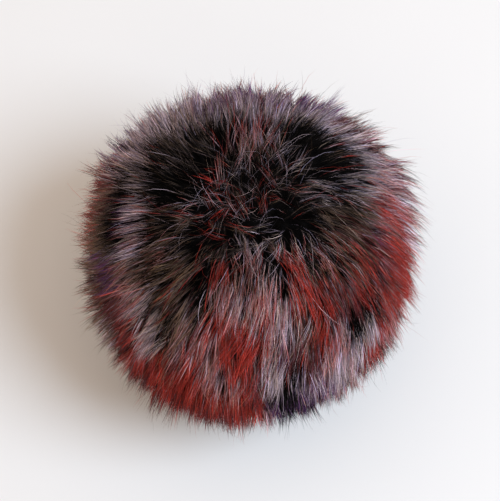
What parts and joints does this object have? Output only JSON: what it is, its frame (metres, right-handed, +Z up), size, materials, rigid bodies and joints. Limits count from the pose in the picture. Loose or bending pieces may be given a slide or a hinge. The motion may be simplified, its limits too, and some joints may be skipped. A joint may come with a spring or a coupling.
{
  "type": "fur pom pom",
  "caption": "Round faux fur pom pom with a whorl at its crown, combed down its sides and resting on a small flat spot.",
  "frame": {"origin": "on the surface it rests on, under the middle of the ball's outline seen from above", "axes": "+Z up through the crown of the fur, -Y towards the pictured front, +X to the right of it"},
  "size_m": [0.1194, 0.118, 0.1047],
  "materials": {
    "fur": "long-pile faux fur, dyed in rust red, black, plum and pale pinkish grey patches"
  },
  "bodies": {
    "root": {"fur_ball": "fur"}
  },
  "joints": []
}
